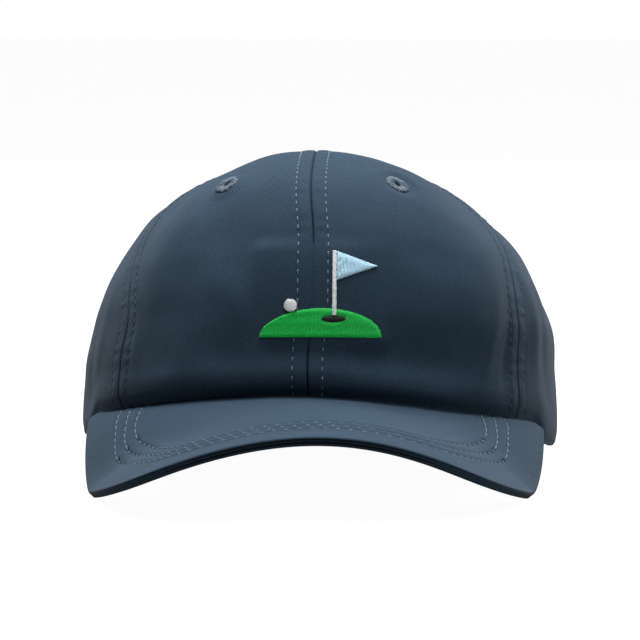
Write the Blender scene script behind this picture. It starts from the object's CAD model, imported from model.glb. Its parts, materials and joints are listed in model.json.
import json
import math

import bpy
import numpy as np
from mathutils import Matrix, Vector

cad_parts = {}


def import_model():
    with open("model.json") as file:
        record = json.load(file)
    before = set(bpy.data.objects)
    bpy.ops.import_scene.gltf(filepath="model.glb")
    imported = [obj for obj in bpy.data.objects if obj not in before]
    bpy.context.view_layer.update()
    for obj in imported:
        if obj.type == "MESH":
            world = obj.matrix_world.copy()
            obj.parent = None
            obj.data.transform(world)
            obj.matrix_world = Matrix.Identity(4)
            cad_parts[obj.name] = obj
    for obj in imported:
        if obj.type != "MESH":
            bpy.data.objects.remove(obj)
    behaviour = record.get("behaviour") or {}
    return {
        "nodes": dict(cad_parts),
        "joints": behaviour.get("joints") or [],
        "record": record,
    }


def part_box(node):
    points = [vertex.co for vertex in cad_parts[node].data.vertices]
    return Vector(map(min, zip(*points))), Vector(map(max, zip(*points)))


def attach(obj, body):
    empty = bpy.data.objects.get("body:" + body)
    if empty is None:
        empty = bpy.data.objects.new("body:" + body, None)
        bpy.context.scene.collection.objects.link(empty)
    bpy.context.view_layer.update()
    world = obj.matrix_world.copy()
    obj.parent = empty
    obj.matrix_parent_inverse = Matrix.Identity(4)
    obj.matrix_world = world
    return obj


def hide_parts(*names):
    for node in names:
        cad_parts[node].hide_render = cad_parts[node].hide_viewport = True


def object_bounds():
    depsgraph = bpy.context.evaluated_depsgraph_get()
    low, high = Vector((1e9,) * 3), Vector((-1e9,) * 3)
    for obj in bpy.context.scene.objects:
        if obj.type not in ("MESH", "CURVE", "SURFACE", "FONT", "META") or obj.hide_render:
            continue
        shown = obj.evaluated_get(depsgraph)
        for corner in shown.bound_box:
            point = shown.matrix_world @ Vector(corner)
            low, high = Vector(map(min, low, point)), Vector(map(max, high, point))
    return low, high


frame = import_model()
cad_low, cad_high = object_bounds()
record = frame["record"]
joints = {joint["name"]: joint for joint in frame["joints"]}
opening = next(mount for mount in record["mounts"] if mount["name"] == "head_opening")

# ------------------------------------------------------------------ frame

# The crown and the visor are worked out in millimetres in the head frame, whose origin is
# the middle of the head opening. seat() turns them into the row's frame, in metres.
MM = 0.001
HEAD_ORIGIN = np.array(opening["pos_m"])
HEAD_UP = joints["strap_adjust"]["axis"]
PITCH = math.atan2(HEAD_UP[1], HEAD_UP[2])

HALF_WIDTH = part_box("crown_panel_side_left")[1].x / MM
FRONT_REACH = 98.0
HEIGHT = 103.4
REAR_SHIFT = 11.0
CREST_SHIFT = -20.0
PROFILE_POWER = 2.78
SIDE_ROOT = 1 / 1.685
FRONT_ROOT = 1 / 2.3
BUTTON_Y = 2.0
CORE = np.array([0.0, BUTTON_Y, 35.0])

VISOR_FRONT_RADIUS = 105.0
VISOR_ROOT_RADIUS = 185.0
VISOR_BEND_REACH = 1.29
VISOR_SLOPE = 0.233
ROOT_HEIGHT = 9.0
ROOT_Y = -97.0
VISOR_END_Y = -28.0
VISOR_END_DROP = 8.0
VISOR_HALF_OUTLINE = ((82, -28), (81.6, -62), (76.2, -96), (68.6, -121.5), (52.5, -148.7))
VISOR_TIP_Y = -162.0
VISOR_THICKNESS = 3.4
VISOR_ROWS = (14.0, 19.0, 24.0)
# The sewn cap is a little lopsided: the crown sits lower on the wearer's left, and the
# visor's front twists the other way.
ROOT_TILT = 1.4
FRONT_TWIST = 1.1
TWIST_SPAN = 80.0
LEAN = 1.65

OPENING_HALF_WIDTH = 46.0
OPENING_HEIGHT = 50.0
TOPSTITCH = 5.2
STITCH_LENGTH = 1.95
STITCH_PERIOD = 3.4


def smooth(start, end, value):
    share = np.clip((np.asarray(value, float) - start) / (end - start), 0, 1)
    return share * share * (3 - 2 * share)


def seat(points):
    """Head frame in mm to the row's frame in metres. The soft crown leans a little to the left."""
    p = np.asarray(points, float)
    c, s = math.cos(PITCH), math.sin(PITCH)
    x = p[..., 0] + LEAN * smooth(22, 40, p[..., 2]) * (1 - smooth(62, 86, p[..., 2]))
    y = p[..., 1] * c + p[..., 2] * s
    z = p[..., 2] * c - p[..., 1] * s
    return np.stack([x, y, z], -1) * MM + HEAD_ORIGIN


def bell(value, width):
    return np.exp(-((value / width) ** 2))


def unit(vectors):
    return vectors / np.maximum(np.linalg.norm(vectors, axis=-1, keepdims=True), 1e-9)


# ------------------------------------------------------------------ crown surface


def section_share(p):
    """Below 1 inside the crown, 1 on its outer face, above 1 outside."""
    x, y, z = p[..., 0], p[..., 1], p[..., 2]
    level = np.clip(z / HEIGHT, 0, 0.99999)
    side = HALF_WIDTH * (1 - level**PROFILE_POWER) ** SIDE_ROOT
    front = FRONT_REACH * (1 - level**PROFILE_POWER) ** FRONT_ROOT
    middle = CREST_SHIFT * level**2
    rear = middle + REAR_SHIFT * (1 - 0.95 * level**2)
    ahead = np.hypot(x / side, (y - middle) / front)
    behind = np.hypot(x, y - rear) / side
    share = np.where(y < middle, ahead, np.where(y < rear, np.abs(x) / side, behind))
    return np.where(z > HEIGHT, 9.0, share)


def crown(azimuth, elevation):
    """Points on the outer face, seen from the core. Azimuth 0 is the front, 90 the left."""
    a, e = np.radians(azimuth), np.radians(elevation)
    ray = np.stack([np.cos(e) * np.sin(a), -np.cos(e) * np.cos(a), np.sin(e)], -1)
    near = np.zeros(ray.shape[:-1])
    far = np.full(ray.shape[:-1], 170.0)
    for _ in range(40):
        half = (near + far) / 2
        inside = section_share(CORE + ray * half[..., None]) < 1
        near = np.where(inside, half, near)
        far = np.where(inside, far, half)
    return CORE + ray * near[..., None]


def crown_normal(p):
    step = 0.4
    slopes = []
    for axis in range(3):
        shift = np.zeros(3)
        shift[axis] = step
        ahead = np.minimum(section_share(p + shift), 3)
        slopes.append(ahead - np.minimum(section_share(p - shift), 3))
    return unit(np.stack(slopes, -1))


def front_point(x, z):
    """The point on the crown's front face at x across and z up."""
    level = np.clip(z / HEIGHT, 0, 0.999)
    side = HALF_WIDTH * (1 - level**PROFILE_POWER) ** SIDE_ROOT
    front = FRONT_REACH * (1 - level**PROFILE_POWER) ** FRONT_ROOT
    y = CREST_SHIFT * level**2 - front * np.sqrt(np.maximum(1 - (x / side) ** 2, 0))
    return np.stack([x, y, z], -1)


def back_point(x, z):
    """The point on the crown's back face at x across and z up."""
    level = np.clip(z / HEIGHT, 0, 0.999)
    side = HALF_WIDTH * (1 - level**PROFILE_POWER) ** SIDE_ROOT
    rear = CREST_SHIFT * level**2 + REAR_SHIFT * (1 - 0.95 * level**2)
    return np.stack([x, rear + np.sqrt(np.maximum(side**2 - x**2, 0)), z], -1)


# ------------------------------------------------------------------ visor surface


def lopsided(x, front_share):
    across = np.clip(x, -TWIST_SPAN, TWIST_SPAN)
    twist = FRONT_TWIST * np.sin(np.pi * across / TWIST_SPAN)
    return front_share * twist - (1 - front_share) * ROOT_TILT * x / 70


def visor_height(x, y):
    reach = np.hypot(x / HALF_WIDTH, y / FRONT_REACH)
    front_share = smooth(1, VISOR_BEND_REACH, reach) * (np.asarray(y) < 0)
    bend = front_share / VISOR_FRONT_RADIUS + (1 - front_share) / VISOR_ROOT_RADIUS
    arch = (1 - np.sqrt(np.maximum(1 - (bend * x) ** 2, 0.01))) / bend
    end_drop = VISOR_END_DROP * smooth(-44, -30, y)
    height = ROOT_HEIGHT + VISOR_SLOPE * (y - ROOT_Y) - arch - end_drop
    return height + lopsided(x, front_share)


def visor_normal(x, y):
    step = 0.5
    across = (visor_height(x + step, y) - visor_height(x - step, y)) / (2 * step)
    along = (visor_height(x, y + step) - visor_height(x, y - step)) / (2 * step)
    return unit(np.stack([-across, -along, np.ones_like(across)], -1))


def rim_height(x, y):
    """Height of the crown's lower edge."""
    behind = smooth(VISOR_END_Y, -4, y)
    side_tilt = lopsided(x, 0) * 1.3 * (1 - smooth(20, 70, y)) - 0.3
    return visor_height(x, np.minimum(y, VISOR_END_Y)) * (1 - behind) + side_tilt * behind


def rim_elevation(azimuth):
    """Elevation, seen from the core, at which a gore's cloth starts."""
    low = np.full(np.shape(azimuth), -65.0)
    high = np.full(np.shape(azimuth), 60.0)
    for _ in range(32):
        half = (low + high) / 2
        p = crown(azimuth, half)
        x, y, z = p[..., 0], p[..., 1], p[..., 2]
        room = z - rim_height(x, y)
        arch = (np.hypot(x / OPENING_HALF_WIDTH, z / OPENING_HEIGHT) - 1) * 40
        room = np.where(y > 20, np.minimum(room, arch), room)
        low = np.where(room < 0, half, low)
        high = np.where(room < 0, high, half)
    return high


def spline(points, count):
    """A smooth curve through plan points, with count + 1 samples."""
    p = np.asarray(points, float)
    knots = np.r_[0, np.cumsum(np.hypot(*np.diff(p, axis=0).T))]
    gap = np.diff(knots)
    size = len(p)
    system = np.eye(size)
    right = np.zeros_like(p)
    for i in range(1, size - 1):
        system[i, i - 1 : i + 2] = gap[i - 1], 2 * (gap[i - 1] + gap[i]), gap[i]
        rise = (p[i + 1] - p[i]) / gap[i] - (p[i] - p[i - 1]) / gap[i - 1]
        right[i] = 6 * rise
    bend = np.linalg.solve(system, right)
    t = np.linspace(0, knots[-1], count + 1)
    i = np.clip(np.searchsorted(knots, t) - 1, 0, size - 2)
    a = ((knots[i + 1] - t) / gap[i])[:, None]
    b = 1 - a
    g = (gap[i] ** 2 / 6)[:, None]
    return a * p[i] + b * p[i + 1] + ((a**3 - a) * bend[i] + (b**3 - b) * bend[i + 1]) * g


# ------------------------------------------------------------------ unevenness

seeds = np.random.default_rng(7)
WAVES = []
for wavelength, height in ((75, 0.34), (44, 0.18), (24, 0.07), (13, 0.025)):
    for _ in range(7):
        heading = unit(seeds.normal(size=3))
        WAVES.append((heading / wavelength * 2 * np.pi, seeds.uniform(0, 6.28), height))


def unevenness(p):
    """Soft cloth waves, in mm, as a function of place."""
    total = np.zeros(p.shape[:-1])
    for wave, phase, height in WAVES:
        total += height * np.sin(p @ wave + phase)
    return total


# Soft folds of the standing cloth: azimuth, height, width, length, slant and depth in mm
FOLDS = (
    (41, 30, 3.6, 17, 0.25, 0.85),
    (47, 26, 3.0, 14, 0.15, -0.75),
    (33, 24, 4.0, 13, 0.35, 0.45),
    (61, 34, 4.5, 22, -0.1, 0.8),
    (68, 30, 4.0, 18, -0.15, -0.6),
    (-43, 27, 3.8, 14, -0.3, 0.45),
    (-62, 33, 4.6, 20, 0.12, 0.55),
    (-70, 28, 4.0, 16, 0.1, -0.4),
    (96, 30, 7.0, 24, 0.1, 0.7),
    (-98, 34, 7.0, 26, -0.1, 0.7),
    (120, 36, 5.0, 24, -0.2, -0.6),
    (-118, 30, 5.0, 22, 0.2, -0.6),
    (150, 66, 6.0, 12, 0.5, -0.6),
    (-148, 64, 6.0, 12, -0.5, -0.5),
)
FOLD_RADIUS = 90.0


def folds(p):
    azimuth = np.degrees(np.arctan2(p[..., 0], BUTTON_Y - p[..., 1]))
    total = np.zeros(p.shape[:-1])
    for middle, height, width, length, slant, depth in FOLDS:
        across = np.radians(azimuth - middle) * FOLD_RADIUS - (p[..., 2] - height) * slant
        total += depth * bell(across, width) * bell(p[..., 2] - height, length)
    return total


# ------------------------------------------------------------------ mesh helpers


def add_piece(name, points, faces, material, uv=None, body="cap", sharp=38):
    """A mesh object from points in the head frame, riding on a body."""
    mesh = bpy.data.meshes.new(name)
    mesh.from_pydata(seat(points).tolist(), [], faces)
    mesh.validate()
    if uv is not None:
        layer = mesh.uv_layers.new(name="cloth_mm")
        corner = np.zeros(len(mesh.loops), np.int32)
        mesh.loops.foreach_get("vertex_index", corner)
        layer.data.foreach_set("uv", (np.asarray(uv)[corner] / 10).astype(np.float32).ravel())
    mesh.polygons.foreach_set("use_smooth", [True] * len(mesh.polygons))
    mesh.set_sharp_from_angle(angle=math.radians(sharp))
    mesh.materials.append(material)
    piece = bpy.data.objects.new(name, mesh)
    bpy.context.scene.collection.objects.link(piece)
    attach(piece, body)
    return piece


def sheet_faces(rows, columns, closed=False, cut=None):
    """Faces of a closed sheet whose second side's points follow the first side's.

    Cells marked in cut are left out, and walls close the hole's edge.
    """
    count = rows * columns
    faces = []
    last = columns if closed else columns - 1
    for r in range(rows - 1):
        for c in range(last):
            n = (c + 1) % columns
            a, b, d, e = r * columns + c, r * columns + n, (r + 1) * columns + n, (r + 1) * columns + c
            if cut is not None and cut[r, c]:
                for near, (first, second) in (
                    ((r - 1, c), (a, b)), ((r, c + 1), (b, d)), ((r + 1, c), (d, e)), ((r, c - 1), (e, a)),
                ):
                    if not cut[near]:
                        faces.append((first, second, count + second, count + first))
                continue
            faces.append((a, b, d, e))
            faces.append((count + e, count + d, count + b, count + a))
    for c in range(last):
        n = (c + 1) % columns
        top = (rows - 1) * columns
        faces.append((count + c, count + n, n, c))
        faces.append((top + c, top + n, count + top + n, count + top + c))
    if not closed:
        for r in range(rows - 1):
            a, b = r * columns, (r + 1) * columns
            faces.append((a, b, count + b, count + a))
            a, b = a + columns - 1, b + columns - 1
            faces.append((count + a, count + b, b, a))
    return faces


def sheet(name, outer, inner, material, uv=None, body="cap", closed=False, cut=None):
    """A cloth sheet between two grids of points."""
    rows, columns = outer.shape[:2]
    points = np.concatenate([outer.reshape(-1, 3), inner.reshape(-1, 3)])
    if uv is not None:
        uv = np.concatenate([uv.reshape(-1, 2), uv.reshape(-1, 2)])
    faces = sheet_faces(rows, columns, closed, cut)
    return add_piece(name, points, faces, material, uv, body)


def lengths(points, axis=0):
    """Distance travelled along one axis of a grid of points."""
    steps = np.linalg.norm(np.diff(points, axis=axis), axis=-1)
    start = np.zeros_like(np.take(steps, [0], axis=axis))
    return np.concatenate([start, np.cumsum(steps, axis=axis)], axis=axis)


def resample(points, extra, spacing):
    """Points and their companions at an even spacing along a path."""
    travel = lengths(points)
    count = max(int(travel[-1] / spacing), 2)
    at = np.linspace(0, travel[-1], count + 1)
    moved = np.stack([np.interp(at, travel, points[:, k]) for k in range(3)], -1)
    along = np.stack([np.interp(at, travel, extra[:, k]) for k in range(3)], -1)
    return moved, unit(along), at


def rods(name, paths, radius, material, body="cap", flat=0.8, sides=6, uv_scale=1.0):
    """Many short closed tubes in one piece. Each path is (points, normals, thickness shares)."""
    points, faces, uvs = [], [], []
    angles = np.arange(sides) * 2 * np.pi / sides
    for middle, normal, share in paths:
        tangent = unit(np.gradient(middle, axis=0))
        across = unit(np.cross(tangent, normal))
        rise = unit(np.cross(across, tangent))
        base = len(points)
        travel = lengths(middle)
        for i in range(len(middle)):
            for k, angle in enumerate(angles):
                spread = across[i] * math.cos(angle) + rise[i] * math.sin(angle) * flat
                points.append(middle[i] + spread * radius * share[i])
                uvs.append((travel[i] * uv_scale, k * 0.3))
        for i in range(len(middle) - 1):
            for k in range(sides):
                n = (k + 1) % sides
                a, b = base + i * sides, base + (i + 1) * sides
                faces.append((a + k, b + k, b + n, a + n))
        faces.append(tuple(base + k for k in range(sides)))
        end = base + (len(middle) - 1) * sides
        faces.append(tuple(end + k for k in reversed(range(sides))))
    return add_piece(name, np.array(points), faces, material, np.array(uvs), body, 60)


STITCH_SHAPE = ((0.0, -0.3, 0.55), (0.1, 0.02, 0.9), (0.3, 0.17, 1), (0.7, 0.17, 1), (0.9, 0.02, 0.9), (1.0, -0.3, 0.55))


def stitches_along(
    points, normals, start=0.0, end=0.0, lift=0.0, length=STITCH_LENGTH, period=STITCH_PERIOD
):
    """Thread paths of one row of stitches: each one rises out of the cloth and dips back."""
    points, normals, travel = resample(points, normals, 0.25)
    found = []
    begin = start
    while begin + length < travel[-1] - end:
        at = begin + np.array([s[0] for s in STITCH_SHAPE]) * length
        middle = np.stack([np.interp(at, travel, points[:, k]) for k in range(3)], -1)
        normal = unit(np.stack([np.interp(at, travel, normals[:, k]) for k in range(3)], -1))
        rise = np.array([s[1] for s in STITCH_SHAPE]) + lift
        found.append((middle + normal * rise[:, None], normal, [s[2] for s in STITCH_SHAPE]))
        begin += period
    return found


# ------------------------------------------------------------------ materials


class Nodes:
    """Short calls for building one material's node tree."""

    def __init__(self, name):
        self.material = bpy.data.materials.new(name)
        self.material.use_nodes = True
        self.tree = self.material.node_tree
        self.shader = self.tree.nodes["Principled BSDF"]

    def add(self, kind, **settings):
        node = self.tree.nodes.new(kind)
        for key, value in settings.items():
            setattr(node, key, value)
        return node

    def link(self, source, target):
        self.tree.links.new(source, target)

    def maths(self, operation, first, second=None, third=None):
        node = self.add("ShaderNodeMath", operation=operation)
        for i, value in enumerate((first, second, third)):
            if value is None:
                continue
            if isinstance(value, (int, float)):
                node.inputs[i].default_value = value
            else:
                self.link(value, node.inputs[i])
        return node.outputs[0]

    def noise(self, vector, scale, detail=2.0):
        node = self.add("ShaderNodeTexNoise")
        node.inputs["Scale"].default_value = scale
        node.inputs["Detail"].default_value = detail
        self.link(vector, node.inputs["Vector"])
        return node.outputs["Fac"]

    def bands(self, vector, rotation, pitch):
        """Bands one pitch apart, in the units of the vector, as 0 to 1."""
        turn = self.add("ShaderNodeMapping")
        turn.inputs["Rotation"].default_value = (0, 0, math.radians(rotation))
        self.link(vector, turn.inputs["Vector"])
        split = self.add("ShaderNodeSeparateXYZ")
        self.link(turn.outputs[0], split.inputs[0])
        phase = self.maths("MULTIPLY", split.outputs[0], 2 * math.pi / pitch)
        wave = self.maths("SINE", phase)
        return self.maths("MULTIPLY_ADD", wave, 0.5, 0.5)

    def facing(self, low, high):
        """0 where the face stands upright, 1 where it looks up or down."""
        split = self.add("ShaderNodeSeparateXYZ")
        self.link(self.add("ShaderNodeNewGeometry").outputs["True Normal"], split.inputs[0])
        ramp = self.add("ShaderNodeMapRange", interpolation_type="SMOOTHSTEP")
        self.link(self.maths("ABSOLUTE", split.outputs[2]), ramp.inputs["Value"])
        ramp.inputs["From Min"].default_value = low
        ramp.inputs["From Max"].default_value = high
        return ramp.outputs[0]

    def mix(self, share, first, second):
        node = self.add("ShaderNodeMix", data_type="RGBA")
        for socket, value in ((node.inputs[6], first), (node.inputs[7], second)):
            if isinstance(value, tuple):
                socket.default_value = (*value, 1)
            else:
                self.link(value, socket)
        if isinstance(share, (int, float)):
            node.inputs[0].default_value = share
        else:
            self.link(share, node.inputs[0])
        return node.outputs[2]

    def bump(self, height, strength, distance):
        node = self.add("ShaderNodeBump")
        node.inputs["Strength"].default_value = strength
        node.inputs["Distance"].default_value = distance
        self.link(height, node.inputs["Height"])
        self.link(node.outputs[0], self.shader.inputs["Normal"])

    def set(self, **values):
        for key, value in values.items():
            socket = self.shader.inputs[key.replace("_", " ")]
            if isinstance(value, (int, float)):
                socket.default_value = value
            elif isinstance(value, tuple):
                socket.default_value = (*value, 1)
            else:
                self.link(value, socket)


def scaled(colour, factor):
    return tuple(channel * factor for channel in colour)


def upright(n):
    """Cloth coordinates in cm for a standing piece that has no layout of its own."""
    place = n.add("ShaderNodeTexCoord").outputs["Object"]
    split = n.add("ShaderNodeSeparateXYZ")
    n.link(place, split.inputs[0])
    join = n.add("ShaderNodeCombineXYZ")
    level = n.maths("SUBTRACT", split.outputs[0], split.outputs[1])
    n.link(n.maths("MULTIPLY", level, 100.0), join.inputs[0])
    n.link(n.maths("MULTIPLY", split.outputs[2], 100.0), join.inputs[1])
    return join.outputs[0]


def twill(name, colour, pitch=0.8, slant=-32, contrast=0.8, bump=0.45, laid=True, dark_edge=False):
    """Cotton twill: slanted ridges broken by the crossing threads, uneven dye and lint."""
    n = Nodes(name)
    uv = n.add("ShaderNodeUVMap", uv_map="cloth_mm").outputs[0] if laid else upright(n)
    place = n.add("ShaderNodeTexCoord").outputs["Object"]
    unit_pitch = pitch / 10
    wander = n.noise(uv, 6.0, 1.0)
    ridge = n.bands(uv, slant, unit_pitch)
    cross = n.bands(uv, slant + 62, unit_pitch * 0.8)
    thread = n.maths("MULTIPLY_ADD", cross, 0.35, n.maths("MULTIPLY", ridge, 0.65))
    grain = n.noise(uv, 42.0, 3.0)
    height = n.maths("MULTIPLY_ADD", grain, 0.5, thread)
    cloud = n.noise(place, 38.0, 3.0)
    tone = n.maths("MULTIPLY_ADD", thread, contrast, n.maths("MULTIPLY", wander, 0.3))
    tone = n.maths("MULTIPLY_ADD", cloud, 0.35, tone)
    tone = n.maths("MULTIPLY_ADD", grain, 0.35, tone)
    tone = n.maths("SUBTRACT", tone, 0.05 + contrast / 2)
    base = n.mix(tone, scaled(colour, 0.55), scaled(colour, 1.62))
    sheen = 0.06
    if dark_edge:
        facing = n.facing(0.08, 0.26)
        base = n.mix(facing, scaled(colour, 0.16), base)
        sheen = n.maths("MULTIPLY", facing, sheen)
    rough = n.maths("MULTIPLY_ADD", grain, 0.12, 0.82)
    n.set(Base_Color=base, Roughness=rough, Sheen_Weight=sheen, Sheen_Roughness=0.45)
    n.set(Specular_IOR_Level=0.12)
    n.shader.inputs["Sheen Tint"].default_value = (0.72, 0.84, 1.0, 1)
    n.bump(height, bump, 0.00022)
    return n.material


def thread(name, colour, pitch=0.42, sheen=0.25, gloss=0.42):
    """Twisted sewing thread: fine slanted plies along the thread's length."""
    n = Nodes(name)
    uv = n.add("ShaderNodeUVMap", uv_map="cloth_mm").outputs[0]
    plies = n.bands(uv, 35, pitch / 10)
    place = n.add("ShaderNodeTexCoord").outputs["Object"]
    patch = n.noise(place, 900.0, 2.0)
    tone = n.maths("MULTIPLY_ADD", plies, 0.55, n.maths("MULTIPLY", patch, 0.5))
    base = n.mix(tone, scaled(colour, 0.7), scaled(colour, 1.25))
    n.set(Base_Color=base, Roughness=gloss, Sheen_Weight=sheen, Specular_IOR_Level=0.4)
    n.bump(plies, 0.5, 0.00012)
    return n.material


def aged_brass():
    n = Nodes("aged_brass")
    place = n.add("ShaderNodeTexCoord").outputs["Object"]
    cloud = n.noise(place, 260.0, 4.0)
    brushed = n.bands(place, 90, 0.00035)
    base = n.mix(cloud, (0.16, 0.1, 0.045), (0.5, 0.36, 0.16))
    n.set(Base_Color=base, Metallic=1.0, Roughness=n.maths("MULTIPLY_ADD", cloud, 0.25, 0.28))
    n.bump(n.maths("MULTIPLY_ADD", brushed, 0.3, cloud), 0.25, 0.0001)
    return n.material


def plated_steel():
    n = Nodes("plated_steel")
    place = n.add("ShaderNodeTexCoord").outputs["Object"]
    cloud = n.noise(place, 500.0, 3.0)
    base = n.mix(cloud, (0.42, 0.43, 0.45), (0.62, 0.62, 0.63))
    n.set(Base_Color=base, Metallic=1.0, Roughness=n.maths("MULTIPLY_ADD", cloud, 0.2, 0.3))
    n.bump(cloud, 0.2, 0.00005)
    return n.material


def moulded_plastic():
    n = Nodes("moulded_plastic")
    place = n.add("ShaderNodeTexCoord").outputs["Object"]
    grain = n.noise(place, 700.0, 3.0)
    base = n.mix(grain, (0.7, 0.7, 0.69), (0.82, 0.82, 0.8))
    n.set(Base_Color=base, Roughness=n.maths("MULTIPLY_ADD", grain, 0.15, 0.5))
    n.bump(grain, 0.3, 0.0001)
    return n.material


def felt(name, colour):
    n = Nodes(name)
    place = n.add("ShaderNodeTexCoord").outputs["Object"]
    fibre = n.noise(place, 1400.0, 5.0)
    base = n.mix(fibre, scaled(colour, 0.8), scaled(colour, 1.1))
    n.set(Base_Color=base, Roughness=0.95, Sheen_Weight=0.3)
    n.bump(fibre, 0.6, 0.0003)
    return n.material


NAVY = (0.0225, 0.0435, 0.069)
navy_twill = twill("navy_twill", NAVY)
visor_twill = twill("visor_twill", NAVY, contrast=0.18, bump=0.15, dark_edge=True)
tape_twill = twill("navy_tape", scaled(NAVY, 0.85), pitch=0.5, slant=38, contrast=0.45)
band_twill = twill("sweatband_twill", scaled(NAVY, 0.95), pitch=0.55)
tab_twill = twill("tab_twill", NAVY, laid=False)
seam_thread = thread("seam_thread", (0.12, 0.17, 0.22), sheen=0.1, gloss=0.6)
side_thread = thread("side_thread", (0.04, 0.062, 0.087), sheen=0.05, gloss=0.7)
eyelet_thread = thread("eyelet_thread", (0.06, 0.098, 0.132), sheen=0.1, gloss=0.6)
green_thread = thread("green_thread", (0.006, 0.6, 0.085), sheen=0.05)
white_thread = thread("white_thread", (0.93, 0.94, 0.95), sheen=0.1)
blue_thread = thread("light_blue_thread", (0.5, 0.78, 0.93), sheen=0.1)
black_thread = thread("black_thread", (0.012, 0.012, 0.014), sheen=0.1)
label_satin = thread("label_satin", (0.78, 0.78, 0.78), pitch=0.3)
brass = aged_brass()
steel = plated_steel()
plastic = moulded_plastic()
white_felt = felt("white_felt", (0.82, 0.82, 0.8))

# ------------------------------------------------------------------ crown panels

# A seam stands at its base azimuth near the rim and swings by its drift between two levels.
SEAMS = {
    "start": (-0.6, 0.0, 0.2, 0.5),
    "front_left": (51.8, 9.0, 0.2, 0.55),
    "back_left": (129.0, -3.0, 0.2, 0.55),
    "rear": (180.0, 0.0, 0.2, 0.5),
    "back_right": (231.0, 3.0, 0.2, 0.55),
    "front_right": (311.6, -10.4, 0.16, 0.45),
    "centre": (359.4, 0.0, 0.2, 0.5),
}
PANELS = (
    ("front_left", "start", "front_left"),
    ("side_left", "front_left", "back_left"),
    ("back_left", "back_left", "rear"),
    ("back_right", "rear", "back_right"),
    ("side_right", "back_right", "front_right"),
    ("front_right", "front_right", "centre"),
)
PANEL_COLUMNS = 110
PANEL_ROWS = 150
CLOTH = 0.7
NEAR_TOP = 88.6


def seam_azimuth(seam, share):
    base, drift, low, high = SEAMS[seam]
    return base + drift * smooth(low, high, share)


def rim_relief(rim_distance, azimuth):
    """The front swells over the visor and tucks in to its seam; elsewhere the hem is thin."""
    turned = np.minimum(azimuth % 360, 360 - azimuth % 360)
    over_visor = 1 - smooth(62, 80, turned)
    front = 1.3 * bell(rim_distance - 8.5, 5.2) - 3.6 * (1 - smooth(0, 5.2, rim_distance))
    front = front * (1 - 0.72 * smooth(22, 60, turned))
    return over_visor * front - (1 - over_visor) * 0.5 * bell(rim_distance, 2.0)


def crest_drop(p):
    """The crest is pressed down a little in front of the button."""
    return 1.4 * smooth(84, 101, p[..., 2]) * (1 - smooth(-22, -7, p[..., 1]))


def cloth_relief(p, seam_distance, seam_travel, rim_distance, azimuth):
    """How far the cloth stands out of the plain surface, in mm."""
    relief = unevenness(p) * smooth(0, 22, seam_distance) * smooth(0, 16, rim_distance)
    relief += folds(p) * smooth(2, 16, rim_distance) * smooth(1, 9, seam_distance)
    # gores swell a little between their seams
    relief += 0.6 * smooth(0, 30, seam_distance) - 0.3
    # the seam's folded allowance lifts the cloth as far as the topstitching
    relief += 0.22 * (1 - smooth(TOPSTITCH - 1.2, TOPSTITCH + 1.0, seam_distance))
    relief -= 0.8 * bell(seam_distance, 0.42)
    relief -= 0.2 * bell(seam_distance - TOPSTITCH, 0.7)
    pucker = np.sin(seam_travel * 2 * np.pi / (2.2 * STITCH_PERIOD) + np.sin(seam_travel * 0.31) * 2)
    relief += 0.12 * pucker * bell(seam_distance - TOPSTITCH * 0.55, 3.0) * smooth(0, 1.5, seam_distance)
    relief += rim_relief(rim_distance, azimuth) - crest_drop(p)
    # the embroidery and the eyelets hold the cloth flat
    flat = motif_share(p)
    relief = relief * (1 - flat) + (MOTIF_BED - 0.4 * bell(seam_distance, 0.42)) * flat
    for centre, _ in EYELETS:
        reach = np.linalg.norm(p - centre, axis=-1)
        bed = 1 - smooth(4.2, 8.5, reach)
        relief = relief * (1 - bed) + EYELET_BED * bed
    return relief


# ------------------------------------------------------------------ eyelet places and motif bed

# Level and turn of each eyelet. The front pair has settled with its cloth by up to 2 mm.
EYELET_PLACES = (
    (0.83, 35.2), (0.83, -37.8), (0.8414, 104.8), (0.8414, -104.8), (0.8414, 160.5), (0.8414, -160.5),
)
EYELET_BED = 0.1
EYELET_CUT = 2.0
MOTIF_CENTRE = (2.4, 45.0)
MOTIF_HALF = (21.0, 15.0)
MOTIF_BED = 0.15


def crown_place(level, turn):
    """A point of the plain crown by level and turn, with its outward normal."""
    t = math.radians(turn)
    middle = CREST_SHIFT * level**2
    side = HALF_WIDTH * (1 - level**PROFILE_POWER) ** SIDE_ROOT
    front = FRONT_REACH * (1 - level**PROFILE_POWER) ** FRONT_ROOT
    y = middle - front * math.cos(t)
    if math.cos(t) < 0:
        y = middle + REAR_SHIFT * (1 - 0.95 * level**2) - side * math.cos(t)
    place = np.array([side * math.sin(t), y, level * HEIGHT])
    return place, crown_normal(place[None])[0]


EYELETS = [crown_place(level, turn) for level, turn in EYELET_PLACES]


def motif_share(p):
    """1 on the embroidered place, fading to 0 round it."""
    across = np.maximum(np.abs(p[..., 0] - MOTIF_CENTRE[0]) - MOTIF_HALF[0], 0)
    up = np.maximum(np.abs(p[..., 2] - MOTIF_CENTRE[1]) - MOTIF_HALF[1], 0)
    front = p[..., 1] < -40
    return (1 - smooth(0.5, 6, np.hypot(across, up))) * front


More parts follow.
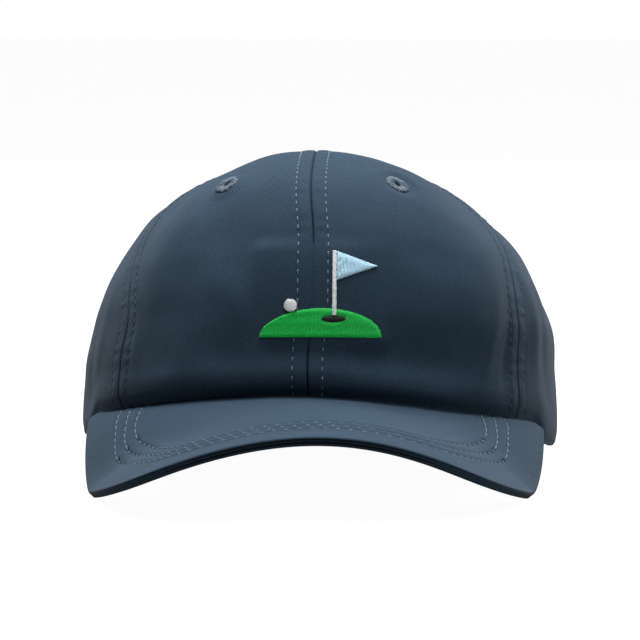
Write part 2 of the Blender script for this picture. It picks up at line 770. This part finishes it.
panel_edges = {}
for panel_name, first, last in PANELS:
    u = np.linspace(0, 1, PANEL_COLUMNS + 1)
    # columns crowd towards the two seams, where the detail is
    u = u - 0.13 * np.sin(2 * np.pi * u) * 0.9
    v = np.linspace(0, 1, PANEL_ROWS + 1) ** 1.12
    share = np.repeat(v[:, None], len(u), 1)
    azimuth = seam_azimuth(first, share)
    azimuth = azimuth + (seam_azimuth(last, share) - azimuth) * u[None, :]
    start = rim_elevation(azimuth[0])
    elevation = start[None, :] + (NEAR_TOP - start[None, :]) * share
    p = crown(azimuth, elevation)
    normal = crown_normal(p)
    across = lengths(p, 1)
    up = lengths(p, 0)
    to_first, to_last = across, across[:, -1:] - across
    nearest = np.minimum(to_first, to_last)
    travel = np.where(to_first < to_last, up[:, :1], up[:, -1:])
    relief = cloth_relief(p, nearest, travel, up, azimuth)
    outer = p + normal * relief[..., None]
    # half of the seam's slit is left at each side, and under the embroidery it stays shut
    half_slit = 0.2 - 0.22 * motif_share(p)
    edge_pull = half_slit * (bell(to_first, 0.35) - bell(to_last, 0.35))
    outer = outer + unit(np.gradient(p, axis=1)) * edge_pull[..., None]
    inner = outer - normal * CLOTH
    uv = np.stack([across - across[:, -1:] / 2, up[:, PANEL_COLUMNS // 2][:, None] + 0 * across], -1)
    middle = (p[:-1, :-1] + p[1:, 1:]) / 2
    cut = np.zeros(middle.shape[:2], bool)
    for centre, _ in EYELETS:
        cut |= np.linalg.norm(middle - centre, axis=-1) < EYELET_CUT
    piece = sheet(f"crown_{panel_name}", outer, inner, navy_twill, uv, cut=cut)
    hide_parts(f"crown_panel_{panel_name}")
    for seam, distance in ((first, to_first), (last, to_last)):
        rows = []
        for r in range(len(v)):
            order = np.argsort(distance[r])
            rows.append([
                np.interp(TOPSTITCH, distance[r][order], outer[r, order, k]) for k in range(3)
            ] + [
                np.interp(TOPSTITCH, distance[r][order], normal[r, order, k]) for k in range(3)
            ] + [distance[r].max()])
        rows = np.array(rows)
        rows = rows[rows[:, 6] > 2.3 * TOPSTITCH]
        panel_edges[panel_name, seam] = rows

middle_stitches, side_stitches = [], []
for (_, seam), rows in panel_edges.items():
    found = stitches_along(rows[:, :3], rows[:, 3:6], start=0.8, end=0.5, lift=0.06)
    if seam in ("start", "centre", "rear"):
        middle_stitches += found
    else:
        side_stitches += found
middle_topstitches = rods("crown_middle_topstitches", middle_stitches, 0.2, seam_thread)
side_topstitches = rods("crown_side_topstitches", side_stitches, 0.18, side_thread)
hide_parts("crown_topstitching")

# ------------------------------------------------------------------ visor

mirrored = [(-x, y) for x, y in reversed(VISOR_HALF_OUTLINE)]
VISOR_TUCK = 5.2
VISOR_COLUMNS = 440
VISOR_BODY_ROWS = 120
outline = spline((*VISOR_HALF_OUTLINE, (0, VISOR_TIP_Y), *mirrored), VISOR_COLUMNS)
outline_along = unit(np.gradient(outline, axis=0))
inward = np.stack([outline_along[:, 1], -outline_along[:, 0]], -1)
root_azimuth = np.linspace(70.5, -70.5, VISOR_COLUMNS + 1)
root_point = crown(root_azimuth, rim_elevation(root_azimuth))
root_point = root_point - crown_normal(root_point) * VISOR_TUCK
EDGE_ROUND = 0.9
EDGE_PROFILE = [
    (EDGE_ROUND * (1 - math.sin(t)), EDGE_ROUND * (1 - math.cos(t)))
    for t in np.linspace(0, math.pi / 2, 6)
] + [(0.0, 1.25), (0.04, VISOR_THICKNESS / 2 - 0.02)]


VISOR_STITCH = 1.3
VISOR_SIDE_STITCH = 3.5
VISOR_PERIOD = 4.3
MARCH_STEP = 0.5


def on_visor(plan):
    """Points of the plain visor's upper face over plan points."""
    return np.concatenate([plan, visor_height(plan[..., 0], plan[..., 1])[..., None]], -1)


def stitch_row(distance):
    """Sections of one row at its distance from the edge over the cloth, more at the sides.

    Each section has its points, normals, travel, stitch length and depth of its dimples."""
    at_side = smooth(-102, -76, outline[:, 1])
    distance = distance + (4.5 + 0.1 * distance) * at_side
    reach = np.zeros(len(outline))
    travelled = np.zeros(len(outline))
    for step in range(int(distance.max() / MARCH_STEP)):
        here = on_visor(outline + inward * step * MARCH_STEP)
        ahead = on_visor(outline + inward * (step + 1) * MARCH_STEP)
        length = np.linalg.norm(ahead - here, axis=-1)
        reach += MARCH_STEP * np.clip((distance - travelled) / length, 0, 1)
        travelled += length
    path = on_visor(outline + inward * reach[:, None])
    free = section_share(path + np.array([0, 0, 1.0])) > 0.985
    path, at_side = path[free], at_side[free]
    straight = at_side > 0.12
    turn = np.flatnonzero(np.diff(straight)) + 1
    sections = []
    for part in np.split(np.arange(len(path)), turn):
        part = np.append(part, part[-1] + 1) if part[-1] + 1 < len(path) else part
        points = path[part]
        stitch, depth = (VISOR_SIDE_STITCH, 0.2) if straight[part[0]] else (VISOR_STITCH, 0.5)
        sections.append((points, visor_normal(points[:, 0], points[:, 1]), lengths(points), stitch, depth))
    return sections


STITCH_PATHS = [section for distance in VISOR_ROWS for section in stitch_row(distance)]


def visor_relief(p, edge_distance):
    """Sunk stitches and the soft padding between their rows, in mm."""
    relief = -0.12 * bell(edge_distance - 2.2, 0.7)
    for path, _, travel, stitch, depth in STITCH_PATHS:
        along = unit(np.gradient(path, axis=0))
        for r, line in enumerate(p):
            gap = line[:, None] - path[None]
            nearest = (gap**2).sum(-1).argmin(-1)
            offset = gap[np.arange(len(line)), nearest]
            ahead = (offset * along[nearest]).sum(-1)
            aside = np.sqrt(np.maximum((offset**2).sum(-1) - ahead**2, 0) + (np.abs(ahead) > 1.5) * 9)
            turn = 2 * np.pi * (travel[nearest] + ahead - stitch / 2) / VISOR_PERIOD
            dip = 0.3 + 0.7 * smooth(0.62, 0.1, np.cos(turn))
            relief[r] -= depth * (bell(aside, 0.7) * dip - 0.32 * bell(aside - 2.2, 1.5))
    return relief


def visor_grid():
    """The visor's upper face from its root to its rounded edge, with relief and drop there."""
    body = outline + inward * EDGE_ROUND
    share = np.linspace(0, 1, VISOR_BODY_ROWS + 1)[:, None, None]
    plan = root_point[None, :, :2] * (1 - share) + body[None] * share
    drop = np.zeros(plan.shape[:2])
    for distance, depth in EDGE_PROFILE[1:]:
        plan = np.concatenate([plan, (outline + inward * distance)[None]])
        drop = np.concatenate([drop, np.full((1, VISOR_COLUMNS + 1), depth)])
    p = on_visor(plan)
    gap = plan[:, :, None] - outline[None, None, ::6]
    edge_distance = np.sqrt((gap**2).sum(-1)).min(-1)
    relief = visor_relief(p, edge_distance) + 0.35 * unevenness(p) * smooth(0, 12, edge_distance)
    return p, visor_normal(plan[..., 0], plan[..., 1]), drop, relief * (drop == 0)


def visor_sheet(name, node, side):
    """The upper cover for side 1, the under cover for side -1, each with half the edge."""
    p, normal, drop, relief = VISOR_GRID
    middle = p - normal * (VISOR_THICKNESS / 2)
    half = VISOR_THICKNESS / 2 - drop
    outer = middle + normal * side * (half + relief)[..., None]
    inner = middle + normal * side * np.maximum(half - 0.6, 0.02)[..., None]
    inset = np.stack([inward[:, 0], inward[:, 1], 0 * inward[:, 0]], -1)
    inner[-len(EDGE_PROFILE) + 1:] += inset[None] * 0.6
    uv = p[..., :2]
    if side < 0:
        outer, inner, uv = outer[:, ::-1], inner[:, ::-1], uv[:, ::-1]
    piece = sheet(name, outer, inner, visor_twill, uv)
    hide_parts(node)


VISOR_GRID = visor_grid()
visor_sheet("visor_upper", "visor_top_cover", 1)
visor_sheet("visor_under", "visor_under_cover", -1)

visor_stitches = []
for path, path_normal, _, stitch, depth in STITCH_PATHS:
    bed = -depth / 3
    for side, drop in ((1, bed), (-1, -bed - VISOR_THICKNESS)):
        moved = path + path_normal * drop
        visor_stitches += stitches_along(moved, path_normal * side, 0, 0, 0.06, stitch, VISOR_PERIOD)
visor_rows = rods("visor_stitch_rows", visor_stitches, 0.19, seam_thread)
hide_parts("visor_stitching")

# ------------------------------------------------------------------ visor board

BOARD_INSET = 2.2
board_outline = outline + inward * BOARD_INSET
board_share = np.linspace(0, 1, 41)[:, None, None]
board_plan = root_point[None, :, :2] * (1 - board_share) + board_outline[None] * board_share
x, y = board_plan[..., 0], board_plan[..., 1]
board_top = np.stack([x, y, visor_height(x, y)], -1) - visor_normal(x, y) * 0.95
board_low = board_top - visor_normal(x, y) * 1.5
board = sheet("visor_board_sheet", board_top, board_low, plastic)
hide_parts("visor_board")

# ------------------------------------------------------------------ eyelets and button


def frame_at(normal):
    """Two directions square to a normal and to each other."""
    across = unit(np.cross(np.array([0.0, 0.0, 1.0]), normal))
    return across, np.cross(normal, across)


EYELET_PROFILE = (
    (4.45, 0.0), (4.4, 0.32), (4.0, 0.62), (3.4, 0.8), (2.7, 0.82), (2.1, 0.66), (1.6, 0.3),
    (1.3, -0.25), (1.25, -1.0), (1.5, -1.5), (2.4, -1.6), (3.3, -1.45), (3.5, -1.1), (3.2, -0.9),
    (1.75, -0.85), (1.7, 0.0), (3.0, 0.02),
)
EYELET_STEPS = 264
EYELET_THREADS = 34


def eyelet_rings():
    points, faces, uvs = [], [], []
    angle = np.arange(EYELET_STEPS) * 2 * np.pi / EYELET_STEPS
    size = len(EYELET_PROFILE)
    for centre, normal in EYELETS:
        across, up = frame_at(normal)
        base = len(points)
        for r, h in EYELET_PROFILE:
            showing = smooth(1.2, 1.8, r) * (h > 0.1)
            ridge = np.abs(np.sin(angle * EYELET_THREADS / 2))
            uneven = 1 + 0.025 * np.sin(angle * 5 + centre[0]) + 0.02 * np.sin(angle * 13)
            radius = r * (1 + (uneven - 1) * (r > 3.2)) + 0.06 * ridge * (r > 4)
            lumps = 0.1 * np.sin(angle * 4 + centre[1]) + 0.08 * np.sin(angle * 9 + centre[2])
            height = h * 0.85 + (0.18 * (ridge - 0.6) + lumps) * showing - 0.011 * r**2 / 2
            for k, t in enumerate(angle):
                offset = (across * math.cos(t) + up * math.sin(t)) * radius[k]
                points.append(centre + offset + normal * (height[k] + EYELET_BED))
                uvs.append((r, t * 3))
        for i in range(size):
            j = (i + 1) % size
            for k in range(EYELET_STEPS):
                n = (k + 1) % EYELET_STEPS
                faces.append((
                    base + i * EYELET_STEPS + k, base + i * EYELET_STEPS + n,
                    base + j * EYELET_STEPS + n, base + j * EYELET_STEPS + k,
                ))
    return add_piece("eyelet_rings", np.array(points), faces, eyelet_thread, np.array(uvs), sharp=70)


rings = eyelet_rings()
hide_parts("ventilation_eyelets")

BUTTON_LEVEL = 0.97
BUTTON_RADIUS = 6.6
BUTTON_RISE = 4.2
BUTTON_BASE = -0.3
button_place, button_normal = crown_place(BUTTON_LEVEL, 180)


def button_grid(radius, rise):
    angle = np.arange(120) * 2 * np.pi / 120
    share = np.linspace(0.02, 1, 26)[:, None]
    reach = radius * share
    height = BUTTON_BASE + (rise - BUTTON_BASE) * np.sqrt(np.maximum(1 - share**2.6, 0))
    gather = 0.1 * np.sin(angle * 17 + np.sin(angle * 3)) * smooth(0.62, 1, share)
    height = height + gather * 0.5 + 0 * angle
    reach = reach + gather
    across, up = frame_at(button_normal)
    flat = across * np.cos(angle)[None, :, None] + up * np.sin(angle)[None, :, None]
    grid = button_place + flat * reach[..., None] + button_normal * height[..., None]
    uv = np.stack([reach * np.cos(angle), reach * np.sin(angle)], -1)
    return grid, uv


outer, uv = button_grid(BUTTON_RADIUS, BUTTON_RISE)
inner, _ = button_grid(BUTTON_RADIUS - 0.6, BUTTON_RISE - 0.6)
button = sheet("button_cloth", outer[:, ::-1], inner[:, ::-1], navy_twill, uv[:, ::-1], closed=True)
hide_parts("button_cover")

# ------------------------------------------------------------------ embroidery


def motif_surface(x, z, rise):
    """Points at a height over the flat bed of the motif, and their normals."""
    p = front_point(np.asarray(x, float), np.asarray(z, float))
    normal = crown_normal(p)
    return p + normal * (MOTIF_BED + np.asarray(rise, float))[..., None], normal


def ellipse(centre, reach, start=0.0, end=360.0, steps=48):
    t = np.radians(np.linspace(start, end, steps))
    return np.stack([centre[0] + reach[0] * np.cos(t), centre[1] + reach[1] * np.sin(t)], -1)


GREEN_RISE = 10.0
STICK = (3.25, 4.75, -7.3, 15.0)
FLAG = ((4.85, 15.0), (18.85, 10.0), (4.85, 5.0))
BALL = ((-11.0, -4.0), (2.2, 2.2))
CUP = ((4.0, -8.6), (4.2, 1.2))
THREAD_PITCH = 0.4
motif_bumps = np.random.default_rng(23)


def fill(outline_points, slant, stitch, rise, radius=0.21, hole=None):
    """Parallel threads that fill an outline, split into stitches of the given length."""
    shape = np.asarray(outline_points, float)
    s = math.radians(slant)
    along, across = np.array([math.cos(s), math.sin(s)]), np.array([-math.sin(s), math.cos(s)])
    flat = np.stack([shape @ along, shape @ across], -1)
    paths = []
    line = flat[:, 1].min() + THREAD_PITCH / 2
    row = 0
    while line < flat[:, 1].max():
        cuts = []
        for loop in (flat, hole_flat(hole, along, across)):
            for (a, b), (c, d) in zip(loop, np.roll(loop, -1, axis=0)):
                if (b - line) * (d - line) < 0:
                    cuts.append(a + (c - a) * (line - b) / (d - b))
        cuts.sort()
        for begin, end in zip(cuts[::2], cuts[1::2]):
            edges = [begin]
            step = begin + stitch * (0.35 + 0.65 * ((row * 0.37) % 1))
            while step < end - stitch * 0.35:
                edges.append(step)
                step += stitch
            edges.append(end)
            for low, high in zip(edges[:-1], edges[1:]):
                if high - low < 0.3:
                    continue
                low = low + motif_bumps.uniform(-0.1, 0.1)
                high = high + motif_bumps.uniform(-0.1, 0.1)
                count = max(int((high - low) / 0.7), 4)
                t = np.linspace(0, 1, count + 1)
                place = along * (low + (high - low) * t)[:, None] + across * line
                lift = rise + 0.16 * np.sin(np.pi * t) ** 0.5 - 0.1 + motif_bumps.uniform(-0.02, 0.03)
                x, z = place[:, 0] + MOTIF_CENTRE[0], place[:, 1] + MOTIF_CENTRE[1]
                points, normals = motif_surface(x, z, lift)
                ends = np.clip(np.sin(np.pi * np.clip(t, 0.04, 0.96)) * 2.2, 0.55, 1)
                paths.append((points, normals, ends * motif_bumps.uniform(0.92, 1.05)))
        line += THREAD_PITCH
        row += 1
    return paths


def hole_flat(hole, along, across):
    if hole is None:
        return np.zeros((0, 2))
    hole = np.asarray(hole, float)
    return np.stack([hole @ along, hole @ across], -1)


def satin(outline_points, slant, rise, radius=0.21):
    return fill(outline_points, slant, 60.0, rise, radius)


def embroidery(name, paths, material, node):
    piece = rods(name, paths, 0.235, material, flat=0.75, uv_scale=1.0)
    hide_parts(node)


ground = ellipse((0, -15), (21, GREEN_RISE), 0, 180)
cup = ellipse(*CUP, steps=40)[:-1]
ball = ellipse(*BALL, steps=40)[:-1]
stick = [(STICK[0], STICK[2]), (STICK[1], STICK[2]), (STICK[1], STICK[3]), (STICK[0], STICK[3])]
green = fill(ground, 62, 5.0, 0.42, hole=cup) + fill(ground, 0, 9.0, 0.2)
embroidery("green_threads", green, green_thread, "embroidery_green")
white = satin(stick, 4, 0.72) + satin(ball, 40, 0.78) + satin(ball, 130, 0.5)
embroidery("white_threads", white, white_thread, "embroidery_white")
blue = fill(FLAG, 78, 6.0, 0.45) + fill(FLAG, 0, 9.0, 0.2)
embroidery("blue_threads", blue, blue_thread, "embroidery_light_blue")
black = satin(cup, 90, 0.5) + satin(cup, 0, 0.3)
embroidery("black_threads", black, black_thread, "embroidery_black")

x = np.linspace(-23, 23, 47)[None, :] + MOTIF_CENTRE[0] + np.zeros((35, 1))
z = np.linspace(-17, 17, 35)[:, None] + MOTIF_CENTRE[1] + np.zeros((1, 47))
near, near_normal = motif_surface(x, z, -CLOTH - 0.08)
far_side = near - near_normal * 0.2
backing = sheet("embroidery_backing_felt", near, far_side, white_felt)
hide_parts("embroidery_backing")

# ------------------------------------------------------------------ inside: tapes and sweatband


def meet(azimuth, room):
    """Elevation at which a column of the crown passes from room below 0 to above 0."""
    low = np.full(np.shape(azimuth), -65.0)
    high = np.full(np.shape(azimuth), 60.0)
    for _ in range(30):
        half = (low + high) / 2
        below = room(crown(azimuth, half)) < 0
        low = np.where(below, half, low)
        high = np.where(below, high, half)
    return high


def tape(name, seams, node):
    """A woven tape over the inside of one seam, or over two that meet under the button."""
    paths = []
    for seam in seams:
        top = 0.985 if len(seams) > 1 else 0.86
        share = np.linspace(0.012, top, 90)
        azimuth = seam_azimuth(seam, share)
        start = rim_elevation(azimuth[:1])[0] + (7.5 if seam == "rear" else 0.0)
        elevation = start + (NEAR_TOP - start) * share
        middle = crown(azimuth, elevation)
        paths.append(middle)
    middle = paths[0] if len(paths) == 1 else np.concatenate([paths[0], paths[1][::-1]])
    normal = crown_normal(middle)
    ahead = unit(np.gradient(middle, axis=0))
    across = unit(np.cross(normal, ahead))
    t = np.linspace(-7, 7, 25)
    p = middle[:, None] + across[:, None] * t[None, :, None]
    ray = p - CORE
    turned = np.degrees(np.arctan2(ray[..., 0], -ray[..., 1]))
    p = crown(turned, np.degrees(np.arctan2(ray[..., 2], np.hypot(ray[..., 0], ray[..., 1]))))
    local = crown_normal(p)
    up = lengths(middle)[:, None] + 0 * t
    rim = np.minimum(up, 40)
    azimuth = np.degrees(np.arctan2(p[..., 0], BUTTON_Y - p[..., 1]))
    swell = rim_relief(rim, azimuth) * (up < 40)
    motif = motif_share(p)
    sag = -(1.3 + 0.5 * bell(t, 2.6)[None, :]) + swell - motif * 0.1 - crest_drop(p)
    ripple = 0.06 * np.sin(up * 1.1) * bell(np.abs(t) - 7, 2)[None, :]
    weave = 0.05 * np.sin(t * 2 * np.pi / 2.3)[None, :]
    edge = 0.2 * (1 - smooth(0, 0.8, 7 - np.abs(t)))[None, :]
    near = p + local * (sag + ripple + weave)[..., None]
    far_side = near - local * (0.5 - edge)[..., None]
    uv = np.stack([t[None, :] + 0 * up, up], -1)
    piece = sheet(name, near, far_side, tape_twill, uv)
    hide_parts(node)


tape("tape_centre", ("start", "rear"), "seam_tape_centre")
for side in ("left", "right"):
    tape(f"tape_front_{side}", (f"front_{side}",), f"seam_tape_front_{side}")
    tape(f"tape_back_{side}", (f"back_{side}",), f"seam_tape_back_{side}")

BAND_TOP = 34.0
BAND_END = 146.5
BAND_DROP = 2.2  # below the visor's upper face, along the visor
BAND_HEM = 1.2  # above the rim elsewhere


def band_grid(inset, top):
    azimuth = np.linspace(-BAND_END, BAND_END, 321)
    drop = BAND_DROP - (BAND_DROP + BAND_HEM) * smooth(50, 64, np.abs(azimuth))
    low = meet(azimuth, lambda p: p[..., 2] - rim_height(p[..., 0], p[..., 1]) + drop)
    high = meet(azimuth, lambda p: p[..., 2] - top)
    share = np.linspace(0, 1, 36)[:, None]
    elevation = low[None] + (high - low)[None] * share
    azimuth = azimuth[None] + 0 * share
    p = crown(azimuth, elevation)
    normal = crown_normal(p)
    up = lengths(p, 0)
    turned = np.abs(azimuth)
    flare = smooth(66, 76, turned) * (1 - smooth(78, 90, turned))  # none where the strap passes
    depth = inset - 2.2 * flare * (1 - smooth(0, 10, up))
    wave = 0.25 * np.sin(np.radians(azimuth) * 26) * smooth(8, 30, up)
    p = p - normal * (depth + wave)[..., None]
    return p, normal, lengths(p, 1), up


near, normal, travel, up = band_grid(6.3, BAND_TOP)
band = sheet("sweatband_cloth", near, near - normal * 0.6, band_twill, np.stack([travel, up], -1))
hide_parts("sweatband")
filler, filler_normal, travel, up = band_grid(5.9, BAND_TOP - 1.0)
interlining = sheet("interlining_felt", filler, filler - filler_normal * 0.35, white_felt)
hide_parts("sweatband_interlining")

band_rows = []
for row in (13, 31):
    path = near[row] - normal[row] * 0.62
    band_rows += stitches_along(path, -normal[row], lift=0.05)
band_stitches = rods("sweatband_stitch_rows", band_rows, 0.24, seam_thread)
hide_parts("sweatband_stitching")

# ------------------------------------------------------------------ back opening

# Section of the binding: distance out from the opening's edge, and height over the cloth
BINDING_OUTER = (
    (6.0, 0.1), (5.8, 0.42), (5.2, 0.52), (4.6, 0.42), (3.4, 0.58), (2.0, 0.62), (0.6, 0.62),
    (-0.4, 0.45), (-0.95, 0.0), (-1.0, -0.4), (-0.9, -0.8), (-0.3, -1.2), (0.6, -1.35),
    (2.0, -1.4), (3.4, -1.38), (4.6, -1.25), (5.3, -1.3), (5.9, -1.2), (6.0, -0.95),
)
BINDING_INNER = (
    (6.0, 0.02), (5.8, 0.03), (5.2, 0.05), (4.6, 0.03), (3.4, 0.08), (2.0, 0.1), (0.6, 0.1),
    (0.1, 0.06), (-0.35, -0.1), (-0.4, -0.4), (-0.35, -0.65), (0.1, -0.8), (0.6, -0.85),
    (2.0, -0.88), (3.4, -0.86), (4.6, -0.8), (5.3, -0.82), (5.9, -0.8), (6.0, -0.78),
)


def arch_place(margin, rise, t):
    """Points beside the back opening's edge, at a margin outward and a rise over the cloth."""
    x = (OPENING_HALF_WIDTH + margin) * np.cos(t)
    z = (OPENING_HEIGHT + margin) * np.sin(t)
    p = back_point(x, z)
    return p + crown_normal(p) * rise[..., None]


def binding():
    t = np.linspace(0, math.pi, 181)
    grids = []
    for section in (BINDING_OUTER, BINDING_INNER):
        rows = []
        for margin, rise in section:
            flare = 0.08 * np.sin(t * 37) * (margin > 1)
            rows.append(arch_place(margin, rise + flare, t))
        grids.append(np.array(rows))
    outer, inner = grids
    travel = lengths(outer, 1)
    across = lengths(outer, 0)
    piece = sheet("opening_binding", outer, inner, navy_twill, np.stack([across, travel], -1))
    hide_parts("back_opening_binding")
    path = arch_place(4.6, 0.42 + 0 * t, t)
    rows = stitches_along(path, crown_normal(path), start=1, end=1, lift=0.05)
    under = arch_place(4.6, -1.25 + 0 * t, t)
    rows += stitches_along(under, -crown_normal(under), start=1, end=1, lift=0.05)
    return rods("binding_stitches", rows, 0.24, seam_thread)


binding_stitches = binding()

# ------------------------------------------------------------------ strap

STRAP_RADII = (81.9, 82.85)
STRAP_HEIGHTS = (3.4, 21.2)
STRAP_END = 60.0
BUCKLE_TURN = 17.0


def rear_ring(radius, turn, height):
    """Points round the rear's centre. Turn is 0 at the back and grows to the wearer's left."""
    t = np.radians(turn)
    x = radius * np.sin(t)
    y = REAR_SHIFT + radius * np.cos(t)
    return np.stack([x, y, height + 0 * x], -1)


turn = np.linspace(-STRAP_END, STRAP_END, 261)[None, :]
lift = np.linspace(0, 1, 27)[:, None]
height = STRAP_HEIGHTS[0] + (STRAP_HEIGHTS[1] - STRAP_HEIGHTS[0]) * lift
edge = np.minimum(lift, 1 - lift) * (STRAP_HEIGHTS[1] - STRAP_HEIGHTS[0])
dent = 0.12 * bell(edge - 1.85, 0.5) + 0.3 * (1 - smooth(0, 0.7, edge))
strap_outer = rear_ring(STRAP_RADII[1] - dent + 0 * turn, turn + 0 * lift, height)
strap_inner = rear_ring(STRAP_RADII[0] + dent + 0 * turn, turn + 0 * lift, height)
strap_uv = np.stack([np.radians(turn) * STRAP_RADII[1] + 0 * lift, height + 0 * turn], -1)
strap = sheet("strap_cloth", strap_outer, strap_inner, navy_twill, strap_uv, body="strap")
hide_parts("strap")
strap_rows = []
for height in (STRAP_HEIGHTS[0] + 1.85, STRAP_HEIGHTS[1] - 1.85):
    turn = np.linspace(-STRAP_END, STRAP_END, 400)
    path = rear_ring(STRAP_RADII[1] - 0.12, turn, height)
    out = rear_ring(1.0, turn, 0.0) - np.array([0, REAR_SHIFT, 0])
    strap_rows += stitches_along(path, out, start=1, end=1, lift=-0.02)
strap_stitches = rods("strap_stitch_rows", strap_rows, 0.17, seam_thread, body="strap")
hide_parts("strap_stitching")

# ------------------------------------------------------------------ care label

LABEL_TURN = -70.0
LABEL_RADIUS = 75.5
LABEL_HALF = 11.0
LABEL_TOP = 32.0
LABEL_TALL = 26.0


def care_label():
    t = math.radians(LABEL_TURN)
    out = np.array([math.sin(t), math.cos(t), 0])
    across = np.array([math.cos(t), -math.sin(t), 0])
    middle = np.array([0, REAR_SHIFT, 0]) + out * LABEL_RADIUS
    s = np.linspace(-LABEL_HALF, LABEL_HALF, 34)[None, :]
    drop = np.linspace(0, LABEL_TALL, 40)[:, None]
    curl = 0.5 * smooth(8, 26, drop) * np.cos(s / LABEL_HALF * 1.3) - 0.2 * smooth(0, 10, drop)
    inward = curl + 0.04 * np.sin(drop * 1.4) + 0 * s
    p = middle + across * s[..., None] - out * inward[..., None]
    p = p + np.array([0, 0, 1.0]) * (LABEL_TOP - drop)[..., None]
    uv = np.stack([s + 0 * drop, drop + 0 * s], -1)
    piece = sheet("care_label_satin", p + out * 0.3, p, label_satin, uv, body="label")
    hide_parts("care_label")


care_label()

# ------------------------------------------------------------------ metal and the buckle's tab


def finish_cad(node, material, bevel):
    part = frame["nodes"][node]
    part.data.materials.clear()
    part.data.materials.append(material)
    if bevel:
        soften = part.modifiers.new("edges", "BEVEL")
        soften.width = bevel * MM
        soften.segments = 3
        soften.limit_method = "ANGLE"
        soften.angle_limit = math.radians(40)
        soften.harden_normals = True


for node in ("buckle_frame", "buckle_pin", "buckle_lever"):
    finish_cad(node, brass, 0.16 if node != "buckle_pin" else 0)
for node in ("button_shell", "button_rivet", "button_washer"):
    finish_cad(node, steel, 0)
finish_cad("buckle_tab", tab_twill, 0.2)

# ------------------------------------------------------------------ light, floor, camera

FLOOR_SIZE = 14.0


def floor_material():
    """Pale and plain: it looks lit to the camera but throws little light back up."""
    n = Nodes("pale_floor")
    place = n.add("ShaderNodeTexCoord").outputs["Object"]
    grain = n.noise(place, 60.0, 3.0)
    n.set(Base_Color=n.mix(grain, (0.13, 0.13, 0.13), (0.16, 0.16, 0.16)), Roughness=0.9)
    path = n.add("ShaderNodeLightPath")
    glow = n.maths("MULTIPLY", path.outputs["Is Camera Ray"], 0.96)
    n.shader.inputs["Emission Color"].default_value = (1, 1, 1, 1)
    n.link(glow, n.shader.inputs["Emission Strength"])
    return n.material


def floor():
    mesh = bpy.data.meshes.new("floor")
    s = FLOOR_SIZE
    corners = [(-s, -s, 0), (s, -s, 0), (s, s, 0), (-s, s, 0)]
    low = min(cad_low.z, 0.0) - 0.0006
    mesh.from_pydata([(x, y, low) for x, y, z in corners], [], [(0, 1, 2, 3)])
    mesh.materials.append(floor_material())
    obj = bpy.data.objects.new("floor", mesh)
    bpy.context.scene.collection.objects.link(obj)


def area_light(name, place, target, size, power, colour=(1, 1, 1)):
    data = bpy.data.lights.new(name, "AREA")
    data.shape = "RECTANGLE"
    data.size, data.size_y = size
    data.energy = power
    data.color = colour
    lamp = bpy.data.objects.new(name, data)
    lamp.location = place
    lamp.rotation_euler = (Vector(target) - Vector(place)).to_track_quat("-Z", "Y").to_euler()
    bpy.context.scene.collection.objects.link(lamp)


def world():
    """White to the camera and a dimmer, soft fill for the object."""
    made = bpy.data.worlds.new("studio")
    bpy.context.scene.world = made
    made.use_nodes = True
    tree = made.node_tree
    back = tree.nodes["Background"]
    path = tree.nodes.new("ShaderNodeLightPath")
    mix = tree.nodes.new("ShaderNodeMix")
    tree.links.new(path.outputs["Is Camera Ray"], mix.inputs[0])
    mix.inputs[2].default_value = 0.065
    mix.inputs[3].default_value = 1.0
    tree.links.new(mix.outputs[0], back.inputs["Strength"])
    back.inputs["Color"].default_value = (1, 1, 1, 1)


def camera():
    data = bpy.data.cameras.new("camera")
    data.lens = 213
    data.sensor_width = 36
    data.clip_start = 0.05
    eye = bpy.data.objects.new("camera", data)
    azimuth, elevation, distance = math.radians(2.0), PITCH - math.radians(3.4), 1.4
    target = Vector(seat([-LEAN, -5.6, 41.5]))
    back = Vector((
        math.sin(azimuth) * math.cos(elevation),
        -math.cos(azimuth) * math.cos(elevation),
        math.sin(elevation),
    ))
    eye.location = target + back * distance
    eye.rotation_euler = (-back).to_track_quat("-Z", "Y").to_euler()
    bpy.context.scene.collection.objects.link(eye)
    bpy.context.scene.camera = eye


floor()
middle = Vector(seat([0.0, -20.0, 45.0]))
area_light("top_soft", middle + Vector((-0.05, 0.15, 1.25)), middle, (1.1, 0.9), 40.5)
area_light("front_soft", middle + Vector((0.65, -1.0, 1.15)), middle, (0.6, 0.6), 7.5)
area_light("left_soft", middle + Vector((-0.9, 1.05, 0.15)), middle, (0.5, 0.5), 5.0)
area_light("right_soft", middle + Vector((0.9, 1.05, 0.15)), middle, (0.5, 0.5), 9.0)
world()
camera()
bpy.context.scene.view_settings.view_transform = "Standard"
